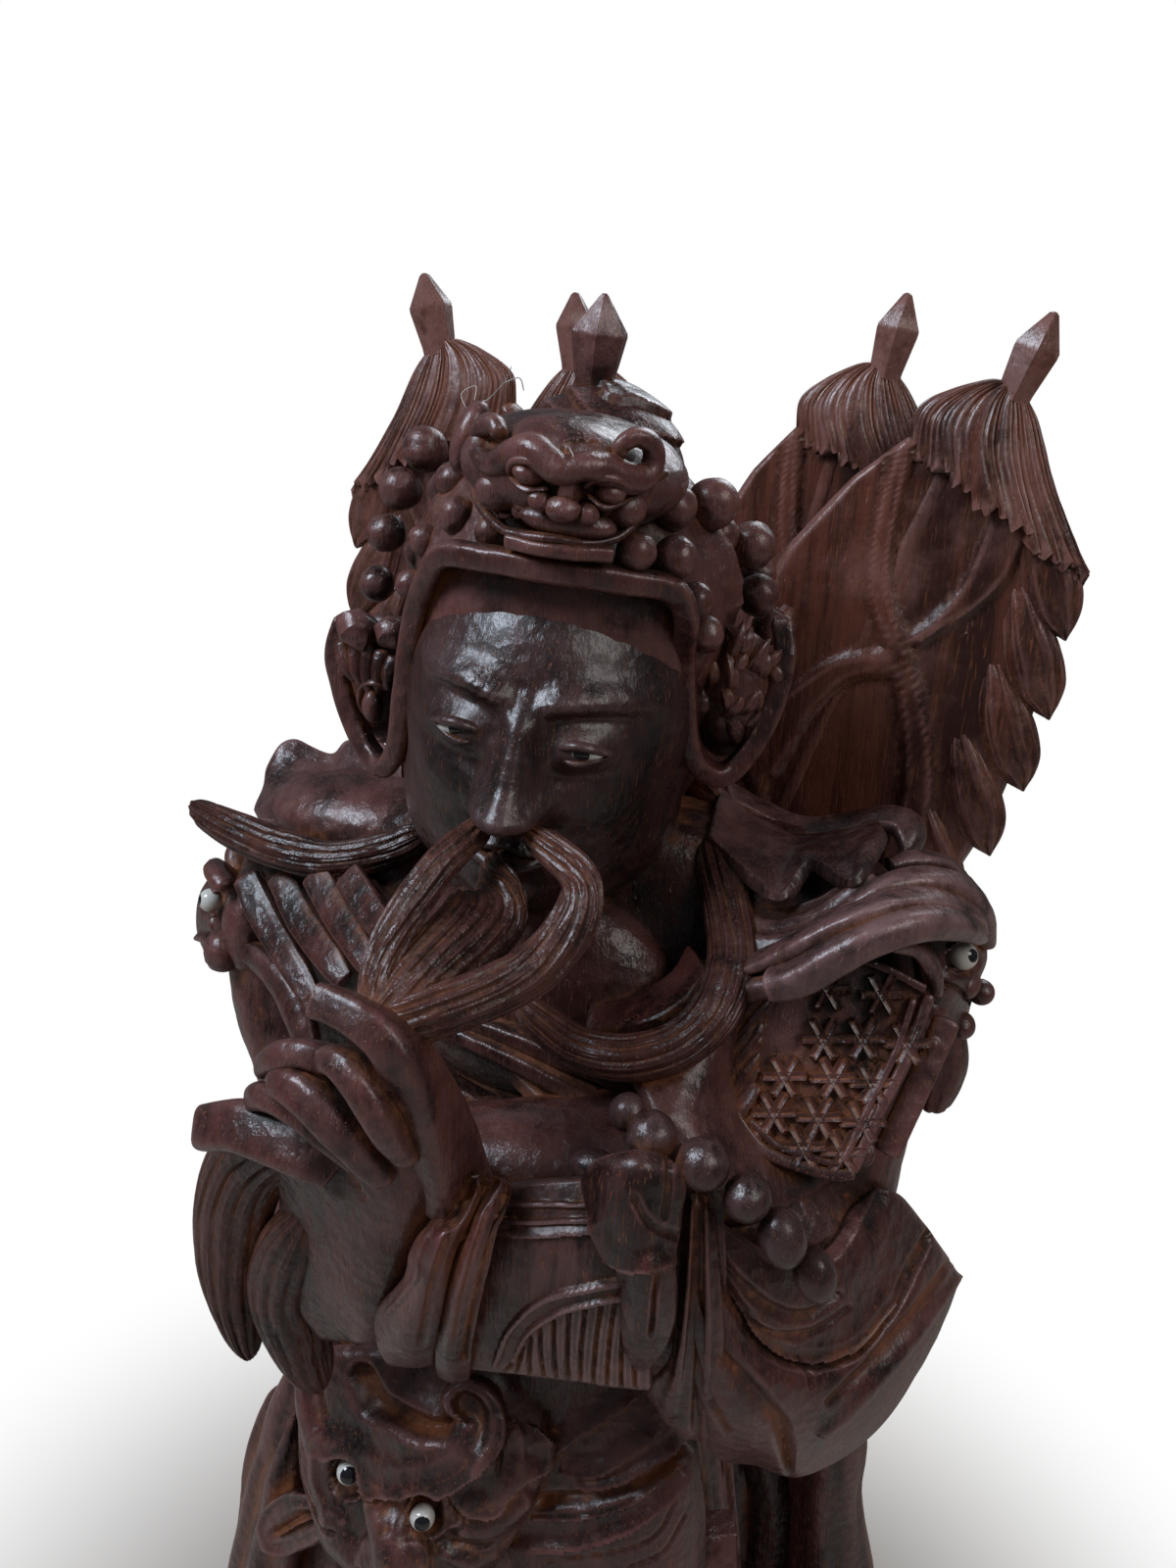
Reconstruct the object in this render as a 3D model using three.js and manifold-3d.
// A rosewood carving of a bearded general in armour on a low plinth: one carved figure, four flags
// pegged into its back, and eight inlaid eyes. Millimetres, +Z up. The figure faces -Y, and its own
// left hand, which holds its beard, is on the +X side. The origin is under the plinth's middle.

import * as THREE from "three";
import { ParametricGeometry } from "three/addons/geometries/ParametricGeometry.js";
import { mergeVertices } from "three/addons/utils/BufferGeometryUtils.js";
import Module from "manifold-3d";

const wasm = await Module();
wasm.setup();

const FIGURE_HEIGHT = 560; // from the plinth's top to the tip of the helmet
const PLINTH_HEIGHT = 30;
const PLINTH_WIDTH = 262;
const PLINTH_DEPTH = 196;
const PLINTH_CORNER = 46; // radius of its corners
const PLINTH_STEP = 5; // how far its waist is cut in
const FLAG_LENGTH = 232; // from the back of the figure to the foot of the spear tip
const FLAG_BOARD = 9; // thickness of a flag's board
const POLE_RADIUS = 4.5;
const SOCKET_DEPTH = 22; // how far a pole goes into the back
const BEAST_EYE_RADIUS = 3.9;
const FACE_EYE_WIDTH = 11.5;
const FACE_EYE_HEIGHT = 4;
const FIT_GAP = 0.3; // between two pieces that touch
const FIGURE_FACES = 5600; // how finely the figure's surface is cut up

// The figure's own drawing has its foot at 30 and its tip at 590, and is scaled to its height.
const DRAWN_FOOT = 30;
const DRAWN_TIP = 590;
const U = FIGURE_HEIGHT / (DRAWN_TIP - DRAWN_FOOT);
const LIFT = PLINTH_HEIGHT + FIT_GAP - DRAWN_FOOT * U;

const at = ([x, y, z]) => new THREE.Vector3(x * U, y * U, z * U + LIFT);
const degrees = THREE.MathUtils.degToRad;

// A value from a list of them, spread evenly over t from 0 to 1.
function spread(values, t) {
  if (!Array.isArray(values)) return values;
  const place = t * (values.length - 1);
  const i = Math.min(Math.floor(place), values.length - 2);
  return THREE.MathUtils.lerp(values[i], values[i + 1], place - i);
}

// Makes a closed solid of a geometry, whichever way its faces turn.
function solid(geometry) {
  geometry.deleteAttribute("normal");
  geometry.deleteAttribute("uv");
  const merged = mergeVertices(geometry, 1e-4);
  const corners = merged.index.array;
  const place = merged.getAttribute("position");
  const [a, b, c] = [new THREE.Vector3(), new THREE.Vector3(), new THREE.Vector3()];
  const kept = [];
  let volume = 0;
  for (let i = 0; i < corners.length; i += 3) {
    const [p, q, r] = corners.slice(i, i + 3);
    if (p === q || q === r || r === p) continue;
    kept.push(p, q, r);
    a.fromBufferAttribute(place, p);
    b.fromBufferAttribute(place, q);
    c.fromBufferAttribute(place, r);
    volume += a.dot(b.cross(c));
  }
  if (volume < 0) kept.reverse();
  return new wasm.Manifold(
    new wasm.Mesh({ numProp: 3, vertProperties: place.array, triVerts: new Uint32Array(kept) }),
  );
}

const join = (solids) => solids.reduce((whole, next) => whole.add(next));

// The same solid without the specks that rounding leaves where forms cross.
function clean(whole) {
  const speck = 0.01;
  return join(whole.decompose().filter((body) => body.volume() > speck));
}

// Thins a closed surface to a number of faces. The edge whose loss moves the surface least is drawn
// together, by the squared distance to the planes round it, if no face turns over or doubles.
function thin(whole, wanted) {
  const { vertProperties, triVerts } = whole.getMesh();
  const points = Array.from({ length: vertProperties.length / 3 }, (_, i) =>
    new THREE.Vector3().fromArray(vertProperties, 3 * i),
  );
  const faces = new Map();
  const facesOf = points.map(() => new Set());
  const planesOf = points.map(() => []);
  const normal = (a, b, c) => b.clone().sub(a).cross(c.clone().sub(a));
  for (let i = 0; i < triVerts.length; i += 3) {
    const face = Array.from(triVerts.subarray(i, i + 3));
    faces.set(i, face);
    const across = normal(...face.map((k) => points[k]));
    const area = across.length();
    const plane = [...across.normalize().toArray(), -across.dot(points[face[0]]), area];
    for (const k of face) {
      facesOf[k].add(i);
      planesOf[k].push(plane);
    }
  }
  const quadricOf = planesOf.map((planes) => {
    const sum = new Float64Array(10);
    for (const [a, b, c, d, area] of planes) {
      [a * a, a * b, a * c, a * d, b * b, b * c, b * d, c * c, c * d, d * d].forEach((value, i) => {
        sum[i] += area * value;
      });
    }
    return sum;
  });
  const loss = (q, { x, y, z }) =>
    q[0] * x * x + 2 * q[1] * x * y + 2 * q[2] * x * z + 2 * q[3] * x + q[4] * y * y +
    2 * q[5] * y * z + 2 * q[6] * y + q[7] * z * z + 2 * q[8] * z + q[9];
  const neighbours = (k) => new Set([...facesOf[k]].flatMap((i) => faces.get(i)).filter((m) => m !== k));
  const turnsOver = (k, other, place) =>
    [...facesOf[k]].some((i) => {
      const face = faces.get(i);
      if (face.includes(other)) return false;
      const before = normal(...face.map((m) => points[m]));
      const after = normal(...face.map((m) => (m === k ? place : points[m])));
      return before.dot(after) < 0.3 * before.length() * after.length() + 1e-9;
    });
  while (faces.size > wanted) {
    const edges = [];
    for (const [a, b, c] of faces.values()) {
      for (const [p, q] of [[a, b], [b, c], [c, a]]) {
        if (p > q) continue;
        const sum = quadricOf[p].map((value, i) => value + quadricOf[q][i]);
        const places = [points[p], points[q], points[p].clone().lerp(points[q], 0.5)];
        const losses = places.map((place) => loss(sum, place));
        const least = losses.indexOf(Math.min(...losses));
        edges.push({ p, q, sum, place: places[least].clone(), cost: losses[least] });
      }
    }
    edges.sort((one, two) => one.cost - two.cost);
    const touched = new Set();
    const before = faces.size;
    for (const { p, q, sum, place } of edges.slice(0, edges.length / 3)) {
      if (faces.size <= wanted) break;
      if (touched.has(p) || touched.has(q)) continue;
      const [nearP, nearQ] = [neighbours(p), neighbours(q)];
      if ([...nearP].filter((k) => nearQ.has(k)).length !== 2) continue;
      if (turnsOver(p, q, place) || turnsOver(q, p, place)) continue;
      for (const i of [...facesOf[q]]) {
        const face = faces.get(i);
        if (face.includes(p)) {
          face.forEach((k) => facesOf[k].delete(i));
          faces.delete(i);
        } else {
          face[face.indexOf(q)] = p;
          facesOf[p].add(i);
        }
      }
      points[p].copy(place);
      quadricOf[p] = sum;
      [...nearP, ...nearQ, p].forEach((k) => touched.add(k));
    }
    if (faces.size === before) break;
  }
  const geometry = new THREE.BufferGeometry().setFromPoints(
    [...faces.values()].flat().map((k) => points[k]),
  );
  return solid(geometry);
}

// A closed skin: u runs once round it and v from one end to the other.
function skin(shape, around, along) {
  const surface = (u, v, target) => target.copy(shape(u % 1, v));
  return solid(new ParametricGeometry(surface, around, along));
}

// A rounded strand along a smooth curve. Its sections are ellipses: wide lies across `facing`.
function strand(points, wide, thick, facing = [0, -1, 0], around = 6, along = 8) {
  const curve = new THREE.CatmullRomCurve3(points.map(at));
  const front = new THREE.Vector3(...facing);
  return skin(
    (u, v) => {
      const t = THREE.MathUtils.clamp((v * along - 1) / (along - 2), 0, 1);
      const tangent = curve.getTangent(t);
      const across = new THREE.Vector3().crossVectors(tangent, front).normalize();
      const out = new THREE.Vector3().crossVectors(across, tangent).normalize();
      const [w, d] = [spread(wide, t) * U, spread(thick, t) * U];
      const place = curve.getPoint(t);
      if (v === 0 || v === 1) return place.addScaledVector(tangent, (v === 0 ? -0.4 : 0.4) * d);
      const turn = u * 2 * Math.PI;
      return place
        .addScaledVector(across, w * Math.cos(turn))
        .addScaledVector(out, d * Math.sin(turn));
    },
    around,
    along,
  );
}

// A rounded lump: an ellipsoid, turned by degrees about X, Y and Z.
function lump(centre, radii, turn = [0, 0, 0], around = 8, along = 6) {
  const geometry = new THREE.SphereGeometry(1, around, along)
    .rotateX(Math.PI / 2)
    .scale(...radii.map((r) => r * U));
  const turned = new THREE.Euler(...turn.map(degrees), "ZXY");
  geometry.applyMatrix4(new THREE.Matrix4().makeRotationFromEuler(turned));
  return solid(geometry.translate(...at(centre)));
}

// A stack of oval levels, each [z, x, y, half width, half depth], with upright folds of a depth.
function trunk(levels, folds = 0, depth = 0, around = 16) {
  const curves = [1, 2, 3, 4].map((i) => levels.map((level) => level[i]));
  const heights = levels.map((level) => level[0]);
  const along = levels.length + 1;
  return skin(
    (u, v) => {
      const t = THREE.MathUtils.clamp((v * along - 1) / (along - 2), 0, 1);
      const [x, y, wide, deep] = curves.map((list) => spread(list, t));
      const z = spread(heights, t);
      if (v === 0 || v === 1) return at([x, y, z]);
      const turn = u * 2 * Math.PI;
      const fold = 1 + depth * Math.cos(folds * turn);
      return at([x + wide * fold * Math.cos(turn), y + deep * fold * Math.sin(turn), z]);
    },
    around,
    along,
  );
}

// A flat board with an outline in its own plane: across and rise are the plane's directions.
function board(outline, thickness, origin, across, rise) {
  const shape = new THREE.Shape(outline.map(([x, y]) => new THREE.Vector2(x, y)));
  const geometry = new THREE.ExtrudeGeometry(shape, { depth: thickness, bevelEnabled: false });
  const x = new THREE.Vector3(...across).normalize();
  const z = new THREE.Vector3().crossVectors(x, new THREE.Vector3(...rise)).normalize();
  const y = new THREE.Vector3().crossVectors(z, x);
  geometry.translate(0, 0, -thickness / 2);
  return solid(geometry.applyMatrix4(new THREE.Matrix4().makeBasis(x, y, z).setPosition(origin)));
}

// The head's own directions: its middle, then right of the viewer, behind and above.
const HEAD = new THREE.Vector3(-2, -35, 470);
const HEAD_TURN = new THREE.Euler(degrees(8), degrees(6.5), degrees(6), "ZXY");

function onHead(x, y, z) {
  const place = new THREE.Vector3(x, y, z).applyEuler(HEAD_TURN).add(HEAD);
  return place.toArray();
}

const headLump = (x, y, z, radii, around, along) =>
  lump(onHead(x, y, z), radii, [8, 6.5, 6], around, along);

// The wide gown down to the plinth, the body, the cape behind and the knot of cloth for the flags.
function body() {
  const gown = trunk(
    [
      [DRAWN_FOOT, -8, -6, 92, 66],
      [60, -8, -5, 84, 60],
      [110, -10, -6, 82, 58],
      [160, -12, -8, 84, 58],
      [215, -13, -10, 78, 56],
      [262, -12, -11, 70, 54],
    ],
    12,
    0.035,
    24,
  );
  const chest = trunk([
    [240, -12, -12, 68, 52],
    [300, -8, -12, 72, 54],
    [350, -2, -12, 84, 50],
    [400, 1, -8, 96, 44],
    [432, 3, -5, 100, 36],
    [448, 5, -8, 72, 30],
    [456, 6, -10, 34, 24],
  ]);
  const cape = trunk(
    [
      [DRAWN_FOOT, -10, 40, 118, 22],
      [90, -10, 38, 124, 17],
      [170, -8, 34, 118, 14],
      [250, -5, 28, 84, 14],
      [340, 0, 22, 74, 18],
      [425, 2, 14, 84, 22],
      [446, 4, 8, 76, 16],
    ],
    9,
    0.04,
    18,
  );
  const neck = strand([[6, -8, 430], [3, -22, 450], [0, -30, 465]], 27, 26, [1, 0, 0]);
  return [gown, chest, cape, neck, ...holder()];
}

// The bundle of cloth on the back that holds the flags: a knot with rolls tied over it.
function holder() {
  return [
    lump([9, 54, 338], [42, 36, 32], [0, 0, 0], 12, 8),
    strand([[-36, 48, 354], [-16, 80, 352], [16, 88, 346], [48, 58, 340]], [5, 8, 8, 5], 6),
    strand([[-34, 50, 328], [-12, 84, 322], [20, 86, 322], [46, 58, 330]], [5, 8, 8, 5], 6),
    strand([[-26, 62, 312], [2, 86, 330], [22, 88, 348], [42, 62, 364]], [5, 7, 7, 4], 6),
    lump([7, 88, 336], [11, 6, 11], [0, 0, 0], 7, 5),
  ];
}

// Boots, the armour's hanging skirts and the swooping hems between belly and cape.
function skirts() {
  const toes = [-46, 26].map((x) => lump([x, -72, DRAWN_FOOT + 15], [21, 32, 15], [0, 0, 0], 7, 5));
  const soles = [-46, 26].map((x) =>
    board(
      [[-19, -26], [19, -26], [21, 24], [-21, 24]].map(([a, b]) => [a * U, b * U]),
      9 * U,
      at([x, -74, DRAWN_FOOT + 4.5]),
      [1, 0, 0],
      [0, 1, 0],
    ),
  );
  const panels = [
    [-66, -52, -0.5, 34],
    [46, -50, 0.45, 36],
    [-14, -68, 0, 24],
  ].map(([x, y, lean, wide]) =>
    board(
      [[-0.8, 70], [0.8, 70], [1.05, -40], [0.6, -66], [0, -74], [-0.6, -66], [-1.05, -40]].map(
        ([a, b]) => [a * wide * U, b * U],
      ),
      12 * U,
      at([x, y, 150]),
      [1, lean, 0],
      [0, 0.12, 1],
    ),
  );
  const hems = [
    strand([[58, -44, 283], [50, -60, 250], [28, -70, 222], [-4, -76, 202]], [7, 9, 9, 5], 8),
    strand([[66, -34, 262], [60, -54, 225], [38, -66, 196], [6, -72, 178]], [9, 11, 11, 6], 9),
    strand([[72, -22, 230], [68, -46, 196], [46, -60, 168], [14, -68, 152]], [9, 11, 11, 6], 9),
    strand([[-76, -34, 258], [-84, -42, 222], [-88, -42, 176], [-86, -40, 130]], [9, 12, 13, 8], 13),
    strand([[-96, -8, 208], [-114, -12, 168], [-126, -10, 118], [-122, -6, 74]], [7, 12, 15, 8], 13),
  ];
  const plank = strand(
    [[80, 12, 268], [95, 14, 224], [97, 16, 190], [104, 18, 140], [102, 20, 90], [96, 20, 44]],
    [14, 13, 13, 17, 17, 14],
    12,
  );
  return [...toes, ...soles, ...panels, ...hems, plank];
}

// The face is a plain calm one: thirds from the helmet's band to the chin, eyes an eye's width apart.
const BROW = 33;
const EYE_LEVEL = 25;
const NOSE_BASE = 7;
const LIPS = -4;
const CHIN = -18;
const EYE_ASIDE = 15;

function face() {
  const sides = [-1, 1];
  return [
    headLump(0, 2, 20, [39, 43, 48], 10, 6),
    headLump(0, -1, -6, [38, 37, 31], 9, 5),
    headLump(0, -34, CHIN + 2, [13, 10, 9], 6, 4),
    strand(
      [onHead(0, -38, BROW + 2), onHead(0, -47, 19), onHead(0, -52, NOSE_BASE + 4)],
      [5, 4, 7],
      [4, 5, 6],
    ),
    ...sides.map((s) => headLump(s * 6.5, -43, NOSE_BASE + 2, [4.5, 6, 4.5], 5, 4)),
    ...sides.map((s) => headLump(s * 20, -30, 6, [12, 10, 11], 6, 4)),
    ...sides.map((s) =>
      strand(
        [onHead(s * 5, -41, BROW - 2), onHead(s * 17, -40, BROW + 4), onHead(s * 31, -26, BROW + 3)],
        [3, 4, 1.5],
        [3, 3.5, 2],
      ),
    ),
    headLump(0, -41, LIPS + 2.4, [11, 5, 2.6], 6, 4),
    headLump(0, -41, LIPS - 2.6, [9, 5, 3], 6, 4),
  ];
}

// Beads or pompoms of growing or shrinking size, evenly spaced on a cord.
function beads(points, count, radii) {
  const curve = new THREE.CatmullRomCurve3(points.map((p) => new THREE.Vector3(...p)));
  const cord = strand(points, 3, 3);
  const balls = Array.from({ length: count }, (_, i) => {
    const t = count > 1 ? i / (count - 1) : 0;
    const centre = curve.getPoint(t);
    const ball = new THREE.SphereGeometry(spread(radii, t) * U, 7, 5);
    return solid(ball.translate(...at(centre.toArray())));
  });
  return [cord, ...balls];
}

// The helmet: a cap, a square band that frames the face and curls round a flap at each ear, beads, the
// crown's mask with its hooked brow, and a round topknot with a faceted tip.
function helmet() {
  const sides = [-1, 1];
  const band = strand(
    [
      [-62, 10, 28],
      [-61, 6, 8],
      [-51, 1, -7],
      [-42, -6, -5],
      [-37.5, -12, 17],
      [-34.5, -15, 43],
      [-25, -26, 61.5],
      [1, -34, 64.6],
      [28, -24, 62],
      [32.5, -13, 44],
      [36, -8, 22],
      [43, -6, 10],
      [53, 0, 16],
      [57, 8, 40],
    ].map((p) => onHead(...p)),
    3.4,
    3.4,
    [0, -1, 0],
    4,
    24,
  );
  const brow = strand(
    [
      [-13.5, -30, 91],
      [-19, -24, 91],
      [-18, -26, 85.5],
      [-10, -33, 88],
      [-2, -38, 89],
      [10, -35, 88.5],
      [18.5, -27, 88],
      [17, -28, 94],
      [13, -31, 92],
    ].map((p) => onHead(...p)),
    2.8,
    3.4,
    [0, -1, 0],
    5,
    18,
  );
  const outer = sides.flatMap((s) =>
    beads([onHead(s * 33, 2, 76), onHead(s * 47, 12, 62), onHead(s * 53, 14, 38)], 4, [6.2, 5.8]),
  );
  const inner = sides.flatMap((s) =>
    beads([onHead(s * 17, -25, 69), onHead(s * 36, -8, 57), onHead(s * 42, 2, 33)], 5, [4.6, 5.2, 4.6]),
  );
  const guard = strand(
    [[-50, 20, -12], [-30, 48, -20], [0, 56, -22], [30, 48, -20], [50, 20, -12]].map((p) => onHead(...p)),
    [9, 13, 14, 13, 9],
    5,
    [0, 1, 0],
    5,
    9,
  );
  return [
    headLump(0, 12, 44, [42, 43, 43], 12, 8),
    headLump(0, 9, 52, [48, 19, 32], 12, 6),
    headLump(0, 24, 8, [42, 30, 44], 8, 5),
    headLump(-0.5, -8, 82, [27, 28, 12.5], 12, 6),
    headLump(1, -21, 89, [14.5, 15.5, 7.2], 10, 5),
    headLump(3.5, -36.5, 79.5, [9, 5, 5], 6, 4),
    headLump(1, 25, 80, [21, 20, 18.5], 10, 8),
    finialOf([onHead(-4.5, 27, 94), onHead(-4.5, 27, 108), onHead(-4.5, 27, 118)], 7.6),
    headLump(-51, 9, 12, [11, 8, 19], 8, 5),
    headLump(46, 6, 27, [11, 10, 19], 8, 5),
    band,
    brow,
    guard,
    ...outer,
    ...inner,
  ];
}

// A six-sided spear tip from its foot, over its widest place, to its point.
function finialOf([foot, widest, tip], radius) {
  return skin(
    (u, v) => {
      const level = Math.round(v * 4);
      const centre = [foot, foot, widest, tip, tip][level];
      const r = [0, 0.62 * radius, radius, 0, 0][level];
      const turn = (u + 1 / 12) * 2 * Math.PI;
      return at([centre[0] + r * Math.cos(turn), centre[1] + r * Math.sin(turn), centre[2]]);
    },
    6,
    4,
  );
}

// A beast's mask in its own directions: right of the viewer, behind and above, times its size.
// A small one is only a skull, a snout, brows and cheeks. A large one has nostrils, mane and horns.
function beast(centre, turn, size, large, rise = 0) {
  const turned = new THREE.Euler(...turn.map(degrees), "ZXY");
  const on = (x, y, z) =>
    new THREE.Vector3(x, y, z)
      .multiplyScalar(size)
      .applyEuler(turned)
      .add(new THREE.Vector3(...centre))
      .toArray();
  const bump = (x, y, z, radii, around, along) =>
    lump(on(x, y, z), radii.map((r) => r * size), turn, around, along);
  const curl = (points, wide, thick) =>
    strand(points.map((p) => on(...p)), wide.map((w) => w * size), thick * size);
  const sides = [-1, 1];
  const mask = [
    bump(0, 4, 0, [40, 22, 40], 8, 5),
    bump(0, -14, -12, [15, 16, 16]),
    ...sides.flatMap((s) => [
      bump(s * 24, -10, -18, [16, 13, 15]),
      curl([[s * 3, -16, 16], [s * 14, -25, 28], [s * 30, -18, 20], [s * 41, -6, 10]], [6, 8, 8, 5], 8),
    ]),
  ];
  if (!large) return mask;
  const more = sides.flatMap((s) => [
    bump(s * 11, -19, -18, [7, 8, 7], 5, 4),
    curl([[s * 40, 0, 4], [s * 50, 2, -6], [s * 48, 2, -22], [s * 38, -2, -32]], [6, 9, 8, 5], 7),
    curl(
      [[s * 5, -14, 26], [s * 17, -18, 34 + rise], [s * 33, -10, 32 + rise], [s * 40, -4, 22]],
      [6, 8, 7, 4],
      7,
    ),
  ]);
  return [...mask, bump(0, -12, -34, [22, 13, 10]), ...more];
}

const BELLY = [-28, -60, 231];
const BELLY_TURN = [-22, 4, -10];
const BELLY_SIZE = 1.06;
const RIGHT_SHOULDER = [-107, -14, 400];
const RIGHT_SHOULDER_TURN = [-6, 0, -84];
const LEFT_SHOULDER = [101, -16, 423.5];
const LEFT_SHOULDER_TURN = [-6, 0, 82];
const SHOULDER_SIZE = 0.52;

// The moustache and the chin's hair, gathered in the fist, the tufts below it and the side locks.
function beard() {
  const fist = [-9, -126, 436];
  return [
    strand([onHead(-4, -47, 6), [-6, -100, 463], [-11, -116, 449], fist], [3.5, 4.5, 4.5, 4], 3.5),
    strand(
      [onHead(5, -47, 6), [26, -92, 461], [21, -105, 447], [4, -121, 440], fist],
      [3.5, 5, 6, 6, 5],
      4.5,
    ),
    strand([onHead(0, -40, -14), [3, -92, 450], [-2, -112, 444], fist], [12, 10, 8, 6], [5, 6, 6, 6]),
    strand([[-26, -116, 404], [-54, -106, 378], [-66, -100, 342], [-64, -95, 303]], [7, 11, 10, 4], 8),
    strand([[-34, -110, 374], [-49, -102, 340], [-49, -96, 316], [-43, -92, 297]], [8, 10, 9, 4], 8),
    strand(
      [[-40, -34, 444], [-68, -40, 431], [-94, -35, 427], [-122, -22, 434]],
      [9, 11, 10, 7],
      8,
      [0, -0.6, 1],
    ),
    strand(
      [[42, -30, 447], [55, -46, 432], [52, -64, 418], [38, -76, 410], [16, -80, 414], [-6, -76, 421]],
      [9, 10, 10, 10, 9, 5],
      8,
      [0, -1, 0.4],
      5,
      10,
    ),
  ];
}

// The scarf's wavy ends on both shoulders, the straps over the chest and the rolled shoulder bands.
function shoulders() {
  const waves = (points, wide) => strand(points, wide, [5, 7, 6, 5], [0, 0, 1], 6, 7);
  return [
    waves([[-34, -28, 446], [-64, -4, 456], [-90, -2, 453], [-110, -8, 440]], [16, 22, 20, 13]),
    waves([[34, -26, 450], [60, -26, 449], [84, -18, 449], [100, -8, 453]], [14, 19, 18, 10]),
    strand([[-96, -30, 420], [-72, -48, 424], [-46, -62, 416], [-20, -70, 400]], [6, 7, 7, 5], 6),
    strand([[-100, -30, 404], [-74, -50, 405], [-50, -62, 396], [-30, -68, 382]], [6, 7, 7, 5], 6),
    strand([[-22, -62, 420], [0, -74, 404], [20, -78, 386], [36, -78, 372]], [8, 9, 9, 8], 6),
    strand([[-18, -62, 396], [0, -70, 384], [16, -74, 372]], [8, 9, 8], 6),
    strand([[58, -44, 436], [80, -44, 448], [98, -32, 452], [114, -12, 441]], [4, 5, 5, 3], 5),
    strand([[54, -52, 430], [80, -51, 443], [102, -37, 449], [117, -10, 433]], [4, 5, 5, 3], 5),
    strand([[56, -58, 420], [78, -61, 436], [102, -44, 445], [119, -12, 426]], [4, 5, 5, 3], 5),
    lump([0, -50, 408], [44, 20, 34]),
    lump([-66, -8, 441], [38, 24, 15]),
    lump([64, -12, 438], [36, 24, 13]),
  ];
}

// The right arm: shoulder, upper arm, forearm and a fist on the belt, mostly hidden by the other hand.
function rightArm() {
  return [
    lump([-96, -6, 408], [27, 24, 30], [0, 0, 0], 7, 5),
    strand([[-102, -8, 400], [-101, -12, 374], [-86, -18, 342]], [24, 20, 19], 20, [0, -1, 0], 7, 5),
    strand([[-86, -18, 342], [-82, -32, 308], [-70, -46, 282]], [18, 16, 13], [18, 16, 13], [0, -1, 0], 6, 5),
    lump([-66, -52, 272], [15, 14, 13]),
    strand([[-122, -20, 378], [-108, -32, 370], [-88, -38, 372]], 3.5, 4),
    strand([[-114, -26, 362], [-100, -34, 354], [-84, -38, 356]], 3.5, 4),
  ];
}

// The left arm crosses the belly: shoulder, upper arm, forearm guard, wrist ribbons and the hand.
function leftArm() {
  const guard = strand(
    [[-16, -92, 360], [14, -88, 364], [50, -74, 366]],
    [30, 32, 35],
    [20, 25, 30],
    [0, -1, 0],
    9,
    5,
  );
  const ribbons = [
    strand([[10, -116, 398], [4, -122, 380], [-4, -122, 358], [-13, -108, 328]], [4, 8, 9, 7], 6),
    strand([[17, -112, 396], [12, -118, 376], [8, -116, 352], [1, -106, 328]], [3, 5, 6, 5], 6),
  ];
  const palm = strand(
    [[-32, -96, 334], [-31, -104, 352], [-24, -108, 374], [-14, -114, 400]],
    [13, 20, 22, 15],
    [11, 14, 15, 12],
    [0, -1, 0],
    7,
    6,
  );
  const curled = [0, 1, 2].map((i) =>
    strand(
      [
        [-8 - 7 * i, -121 + i, 402 - 4 * i],
        [-20 - 7 * i, -130 + i, 411 - 5 * i],
        [-33 - 6 * i, -129 + i, 417 - 6 * i],
        [-41 - 4 * i, -122 + i, 413 - 5 * i],
      ],
      [5, 5, 4.5, 3.5],
      [5.5, 6.5, 6, 4],
      [0, -0.3, 1],
    ),
  );
  const pinky = strand([[-14, -116, 392], [-34, -120, 393], [-58, -117, 396]], [7, 6, 5], [7, 6.5, 5]);
  const thumb = strand(
    [[4, -116, 396], [-1, -126, 416], [-8, -133, 434], [-17, -134, 442]],
    [8, 8, 6.6, 5.6],
    [8, 8, 6, 5],
    [0.2, -1, 0.3],
  );
  return [
    lump([90, -8, 412], [25, 24, 28], [0, 0, 0], 7, 5),
    strand([[88, -14, 410], [86, -32, 376], [82, -42, 342]], 20, 24, [0, -1, 0], 7, 5),
    guard,
    ...ribbons,
    palm,
    ...curled,
    pinky,
    thumb,
  ];
}

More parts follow.
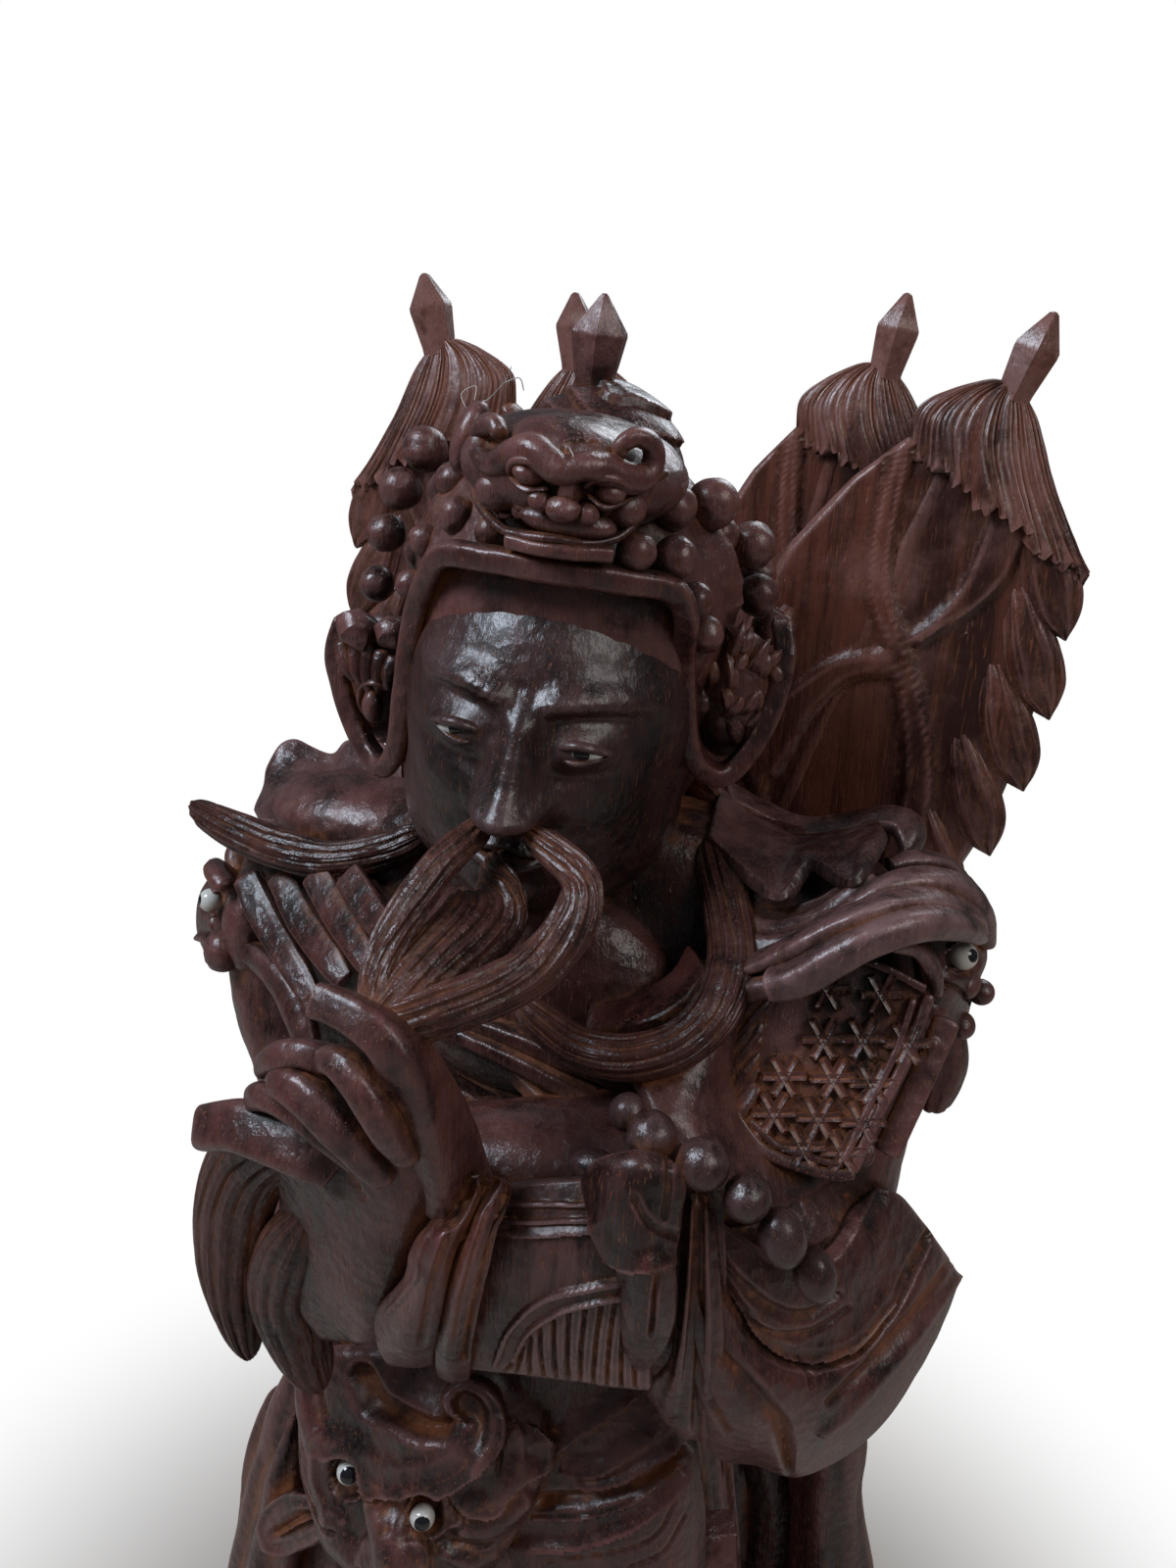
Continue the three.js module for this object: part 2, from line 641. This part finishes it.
// The armour plate on the left upper arm: a bordered board with rows of six-armed stars, and a fringe.
function armPlate() {
  const middle = [88, -57, 408];
  const across = new THREE.Vector3(32, 10, 13).normalize();
  const outward = new THREE.Vector3(0.105, -0.898, 0.428).normalize();
  const rise = new THREE.Vector3().crossVectors(outward, across);
  const on = (x, y, out) =>
    new THREE.Vector3(...middle)
      .addScaledVector(across, x)
      .addScaledVector(rise, y)
      .addScaledVector(outward, out)
      .toArray();
  const corners = [[-18, 22], [9, 26], [24, 11], [19, -16], [3, -30], [-21, -13], [-23, 5]];
  const plate = board(
    corners.map(([x, y]) => [x * U, y * U]),
    9 * U,
    at(on(0, 0, -2)),
    across.toArray(),
    rise.toArray(),
  );
  const ridge = (outline, x, y, out) =>
    board(
      outline.map(([a, b]) => [a * U, b * U]),
      3 * U,
      at(on(x, y, out)),
      across.toArray(),
      rise.toArray(),
    );
  const border = corners.map(([x, y], i) => {
    const [nextX, nextY] = corners[(i + 1) % corners.length];
    const inside = 0.86;
    const edge = [[x, y], [nextX, nextY], [inside * nextX, inside * nextY], [inside * x, inside * y]];
    return ridge(edge, 0, 0, 2);
  });
  const star = Array.from({ length: 12 }, (_, i) => {
    const [turn, reach] = [degrees(30 * i), i % 2 ? 1.5 : 5.4];
    return [reach * Math.sin(turn), reach * Math.cos(turn)];
  });
  const stars = [];
  for (let row = -1; row <= 2; row++) {
    for (let column = -1; column <= 1; column++) {
      const [x, y] = [column * 11 + (row % 2) * 5.5, row * 9.5 - 6];
      if (x + y > 20 || x < -15) continue;
      stars.push(ridge(star, x, y, 1.5));
    }
  }
  const fringe = [0, 1, 2, 3].map((i) =>
    strand(
      [on(-16, 16 - 11 * i, 0), on(-26, 13 - 10 * i, 0), on(-33, 5 - 9 * i, -3)],
      [5, 5.5, 1.5],
      3,
      outward.toArray(),
      4,
      4,
    ),
  );
  const tail = strand([[106, 2, 398], [112, 4, 380], [112, 4, 364]], [10, 9, 5], 7);
  return [plate, ...border, ...stars, ...fringe, tail];
}

// The wide sleeve of the left arm: its mouth, its belly of cloth, the folds that swoop to the elbow.
function sleeve() {
  const cloth = strand(
    [[38, -84, 366], [58, -78, 346], [80, -64, 330], [98, -50, 328], [114, -36, 338]],
    [36, 46, 46, 34, 12],
    [24, 26, 26, 22, 10],
    [0, -1, 0],
    10,
    6,
  );
  const folds = [
    strand([[46, -100, 398], [56, -106, 360], [72, -94, 318], [90, -74, 292]], [6, 7, 7, 4], 7),
    strand([[60, -98, 378], [76, -98, 344], [94, -76, 318], [112, -46, 324]], [5, 6, 7, 5], 7),
    strand(
      [[52, -88, 310], [66, -76, 288], [84, -66, 278], [102, -54, 290], [118, -36, 322]],
      [5, 8, 8, 8, 5],
      7,
    ),
    strand([[84, -84, 360], [98, -66, 346], [108, -46, 338], [114, -28, 336]], [5, 6, 6, 5], 7),
    strand([[36, -104, 400], [44, -104, 380], [46, -98, 350], [44, -86, 326]], [5, 8, 8, 6], 6),
  ];
  const route = [[39, -92, 403], [58, -94, 395], [74, -87, 380], [88, -77, 361]];
  const end = strand([route[0], [33, -80, 402]], 3, 3);
  return [cloth, ...folds, end, ...beads(route, 6, [4.6, 5.8, 5.2])];
}

const eyesOn = (centre, turn, size, aside, out, rise) => {
  const turned = new THREE.Euler(...turn.map(degrees), "ZXY");
  return [-1, 1].map((s) =>
    new THREE.Vector3(s * aside, -out, rise)
      .multiplyScalar(size)
      .applyEuler(turned)
      .add(new THREE.Vector3(...centre))
      .toArray(),
  );
};

// One eye as a solid of its real size, grown by a gap where it cuts its socket.
function eye({ place, radii, turn }, gap) {
  const geometry = new THREE.SphereGeometry(1, 8, 6)
    .rotateX(Math.PI / 2)
    .scale(...radii.map((r) => r + gap));
  const turned = new THREE.Euler(...turn.map(degrees), "ZXY");
  geometry.applyMatrix4(new THREE.Matrix4().makeRotationFromEuler(turned));
  return solid(geometry.translate(...at(place)));
}

const ball = [BEAST_EYE_RADIUS, BEAST_EYE_RADIUS, BEAST_EYE_RADIUS];
const almond = [FACE_EYE_WIDTH / 2, FACE_EYE_HEIGHT / 2 + 1, FACE_EYE_HEIGHT / 2];
const [bellyRight, bellyLeft] = eyesOn(BELLY, BELLY_TURN, BELLY_SIZE, 13, 24, 8);
const [rightBack, rightFront] = eyesOn(RIGHT_SHOULDER, RIGHT_SHOULDER_TURN, SHOULDER_SIZE, 15, 26, 8);
const [leftFront, leftBack] = eyesOn(LEFT_SHOULDER, LEFT_SHOULDER_TURN, SHOULDER_SIZE, 15, 26, 8);
const EYES = {
  eye_face_right: { place: onHead(-EYE_ASIDE, -39.5, EYE_LEVEL), radii: almond, turn: [8, 6.5, -8] },
  eye_face_left: { place: onHead(EYE_ASIDE, -39.5, EYE_LEVEL), radii: almond, turn: [8, 6.5, 20] },
  eye_belly_right: { place: bellyRight, radii: ball, turn: BELLY_TURN },
  eye_belly_left: { place: bellyLeft, radii: ball, turn: BELLY_TURN },
  eye_right_shoulder_front: { place: rightFront, radii: ball, turn: RIGHT_SHOULDER_TURN },
  eye_right_shoulder_back: { place: rightBack, radii: ball, turn: RIGHT_SHOULDER_TURN },
  eye_left_shoulder_front: { place: leftFront, radii: ball, turn: LEFT_SHOULDER_TURN },
  eye_left_shoulder_back: { place: leftBack, radii: ball, turn: LEFT_SHOULDER_TURN },
};

// Where each flag's pole leaves the back, how far it leans, and to which side its flames point.
const FLAGS = {
  flag_right_outer: { foot: [-6, 44, 353], lean: -13.5, side: -1 },
  flag_right_inner: { foot: [-7, 74, 343], lean: -4, side: -1 },
  flag_left_inner: { foot: [20, 61, 348], lean: 10.5, side: 1 },
  flag_left_outer: { foot: [24, 42, 353], lean: 19, side: 1 },
};
const FLAG_DRAWN = 246;

// A pole in its socket, from below the back's surface up to a height, with a gap where it cuts.
function pole(height, gap) {
  const length = height + SOCKET_DEPTH + 2 * gap;
  const rod = new THREE.CylinderGeometry(POLE_RADIUS + gap, POLE_RADIUS + gap, length, 10);
  return rod.rotateX(Math.PI / 2).translate(0, 0, length / 2 - SOCKET_DEPTH - gap);
}

const toFlag = ({ foot, lean }) =>
  new THREE.Matrix4().makeRotationY(degrees(lean)).setPosition(at(foot));

// A flag: pole, spear tip, bell of tassels, and a board with flames down its outer edge.
function flag(place) {
  const F = FLAG_LENGTH / FLAG_DRAWN;
  const { side } = place;
  const plane = (x, y, z) => new THREE.Vector3(side * x * F, y, z * F);
  const inner = [[12, 40], [-12, 62], [-29, 110], [-37, 150], [-35.5, 180], [-25, 209], [-12, 230]];
  const leaves = Array.from({ length: 6 }, (_, k) => {
    const [x, z] = [71.5 - 1.6 * (k - 2.8) ** 2, 188 - 24.5 * k];
    return [[x - 7, z + 18], [x - 1, z + 6], [x, z], [x - 9, z + 3]];
  }).flat();
  const outline = [...inner, [26, 230], [44, 210], ...leaves, [38, 60], [20, 40]];
  const shape = new THREE.Shape(outline.map(([x, z]) => new THREE.Vector2(side * x * F, z * F)));
  const flat = new THREE.ExtrudeGeometry(shape, { depth: FLAG_BOARD, bevelEnabled: false })
    .translate(0, 0, -FLAG_BOARD / 2)
    .rotateX(Math.PI / 2);
  const bell = skin(
    (u, v) => {
      const level = Math.round(v * 5);
      const [x, z, wide, deep] = [
        [5.5, 250, 0, 0],
        [5.5, 250, 6, 3.4],
        [4.5, 242.5, 14.5, 5.5],
        [8, 231, 24, 8],
        [19.5, 215, 33.5, 10],
        [19, 219, 0, 0],
      ][level];
      const turn = u * 2 * Math.PI;
      const ragged = level === 4 ? 3 * (Math.round(u * 16) % 2) - 8 * Math.cos(turn) : 0;
      return plane(x + wide * Math.cos(turn), deep * Math.sin(turn), z + ragged);
    },
    16,
    5,
  );
  const tip = skin(
    (u, v) => {
      const level = Math.round(v * 5);
      const [x, z, r] = [
        [8.5, 244, 0],
        [8.5, 244, 5.8],
        [8.5, 250, 6],
        [8.5, 261, 7.6],
        [8.5, 272.4, 0],
        [8.5, 272.4, 0],
      ][level];
      const turn = (u + 1 / 12) * 2 * Math.PI;
      return plane(x + r * Math.cos(turn), 0.85 * r * Math.sin(turn), z);
    },
    6,
    5,
  );
  const ribbon = (points, wide) => {
    const curve = new THREE.CatmullRomCurve3(points.map(([x, z]) => plane(x, -FLAG_BOARD / 2, z)));
    return skin(
      (u, v) => {
        const t = THREE.MathUtils.clamp((v * 6 - 1) / 4, 0, 1);
        const centre = curve.getPoint(t);
        if (v === 0 || v === 1) return centre;
        const tangent = curve.getTangent(t);
        const across = new THREE.Vector3(tangent.z, 0, -tangent.x);
        const turn = u * 2 * Math.PI;
        centre.addScaledVector(across, wide * Math.cos(turn));
        return centre.add(new THREE.Vector3(0, 2 * Math.sin(turn), 0));
      },
      4,
      6,
    );
  };
  const relief = [
    ribbon([[-12, 214], [-6, 188], [10, 166], [31, 139], [42, 100]], 4.5),
    ribbon([[24, 210], [25, 192], [15, 171]], 4.5),
    ribbon([[14, 160], [0, 154], [-9, 138], [-14, 112]], 5),
  ];
  const whole = join([solid(pole(FLAG_LENGTH, 0)), solid(flat), bell, tip, ...relief]);
  return whole.transform(toFlag(place).elements);
}

// A low plinth: a rounded slab with a waist between its foot and its top.
function plinth() {
  const levels = [
    [0, 0],
    [0, 0],
    [0.32, 0],
    [0.38, PLINTH_STEP],
    [0.62, PLINTH_STEP],
    [0.68, 0],
    [1, 0],
    [1, 0],
  ];
  return skin(
    (u, v) => {
      const level = Math.round(v * (levels.length - 1));
      const [height, inset] = levels[level];
      if (level === 0 || level === levels.length - 1) return new THREE.Vector3(0, 0, height * PLINTH_HEIGHT);
      const turn = u * 2 * Math.PI;
      const corner = Math.min(PLINTH_CORNER, PLINTH_DEPTH / 2) - inset;
      const [wide, deep] = [PLINTH_WIDTH / 2 - inset - corner, PLINTH_DEPTH / 2 - inset - corner];
      const x = wide * THREE.MathUtils.clamp(3 * Math.cos(turn), -1, 1) + corner * Math.cos(turn);
      const y = deep * THREE.MathUtils.clamp(3 * Math.sin(turn), -1, 1) + corner * Math.sin(turn);
      return new THREE.Vector3(x, y, height * PLINTH_HEIGHT);
    },
    24,
    levels.length - 1,
  );
}

function wood(color, roughness) {
  return new THREE.MeshStandardMaterial({ color, roughness, metalness: 0 });
}

const figureWood = wood(0x3a2623, 0.42);
const flagWood = wood(0x573129, 0.55);
const glass = new THREE.MeshStandardMaterial({ color: 0xe6e2da, roughness: 0.08, metalness: 0 });

const part = new THREE.Group();

function add(name, whole, material) {
  const { vertProperties, triVerts } = whole.getMesh();
  const geometry = new THREE.BufferGeometry()
    .setAttribute("position", new THREE.BufferAttribute(vertProperties, 3))
    .setIndex(new THREE.BufferAttribute(triVerts, 1));
  geometry.computeVertexNormals();
  const mesh = new THREE.Mesh(geometry, material);
  mesh.name = name;
  part.add(mesh);
}

let figure = thin(clean(join([
  ...body(),
  ...skirts(),
  ...beast(BELLY, BELLY_TURN, BELLY_SIZE, true, 14),
  ...face(),
  ...helmet(),
  ...beard(),
  ...shoulders(),
  ...rightArm(),
  ...beast(RIGHT_SHOULDER, RIGHT_SHOULDER_TURN, SHOULDER_SIZE, false),
  ...leftArm(),
  ...beast(LEFT_SHOULDER, LEFT_SHOULDER_TURN, SHOULDER_SIZE, false),
  ...sleeve(),
])), FIGURE_FACES);
figure = join([figure, ...armPlate()]);
for (const place of Object.values(EYES)) figure = figure.subtract(eye(place, FIT_GAP));
for (const place of Object.values(FLAGS)) {
  figure = figure.subtract(solid(pole(FLAG_LENGTH / 3, FIT_GAP)).transform(toFlag(place).elements));
}

add("plinth", plinth(), figureWood);
add("figure", clean(figure), figureWood);
for (const [name, place] of Object.entries(FLAGS)) add(name, flag(place), flagWood);
for (const [name, place] of Object.entries(EYES)) add(name, eye(place, 0), glass);

export default part;
